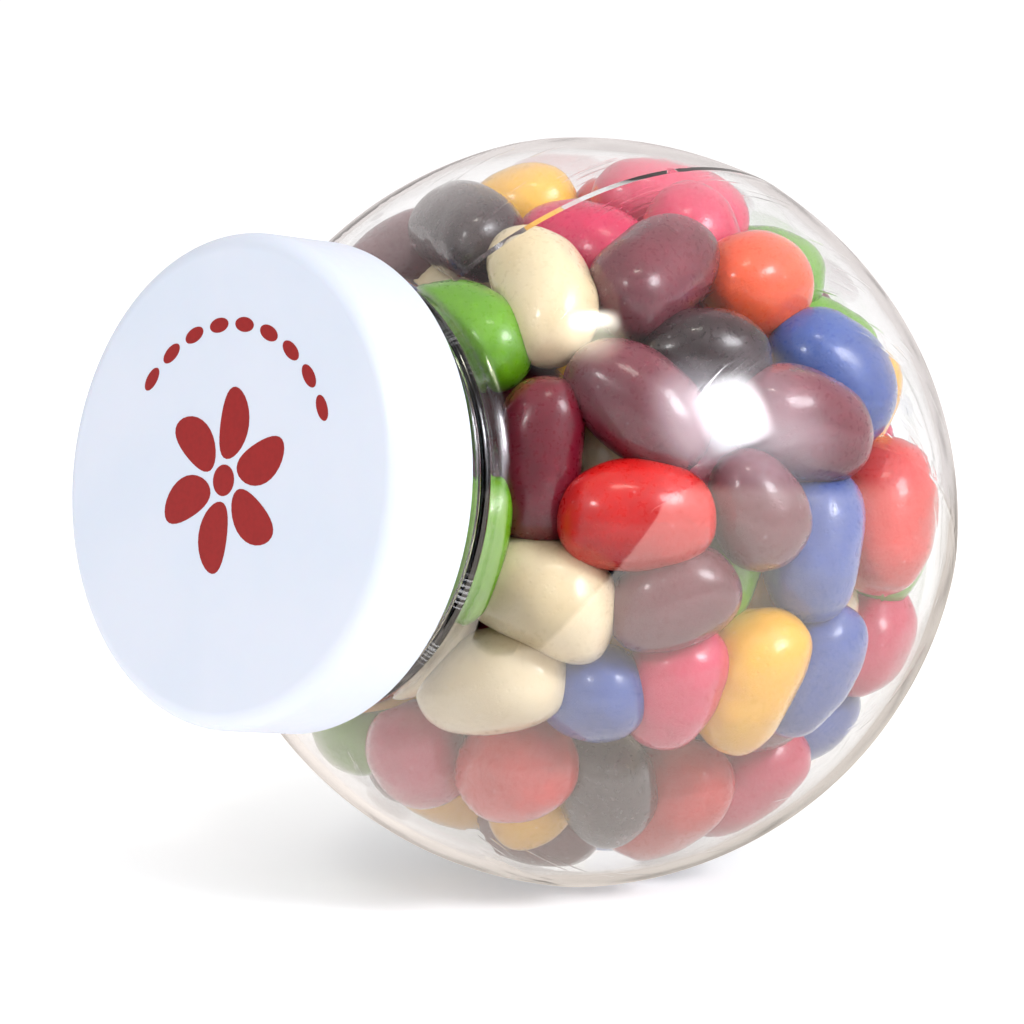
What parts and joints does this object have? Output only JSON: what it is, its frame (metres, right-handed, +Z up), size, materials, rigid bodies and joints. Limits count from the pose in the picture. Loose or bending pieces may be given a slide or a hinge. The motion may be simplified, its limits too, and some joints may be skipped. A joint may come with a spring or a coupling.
{
  "type": "jar of jelly beans",
  "caption": "Ball-shaped clear plastic jar with a white screw lid, lying on its side and filled to the neck with mixed jelly beans.",
  "frame": {"origin": "middle of the small flat spot on which the ball rests", "axes": "+Z up, -Y the way the lid points (it also rises 10.5 degrees), +X to the side"},
  "size_m": [0.0836, 0.0996, 0.0845],
  "materials": {
    "clear_plastic": "clear and glossy, with a faint mould seam",
    "white_plastic": "smooth satin white",
    "sugar_shell": "polished sugar shell in mixed colours"
  },
  "bodies": {
    "root": {"jar": "clear_plastic", "lid": "white_plastic", "jelly_beans": "sugar_shell"}
  },
  "joints": []
}
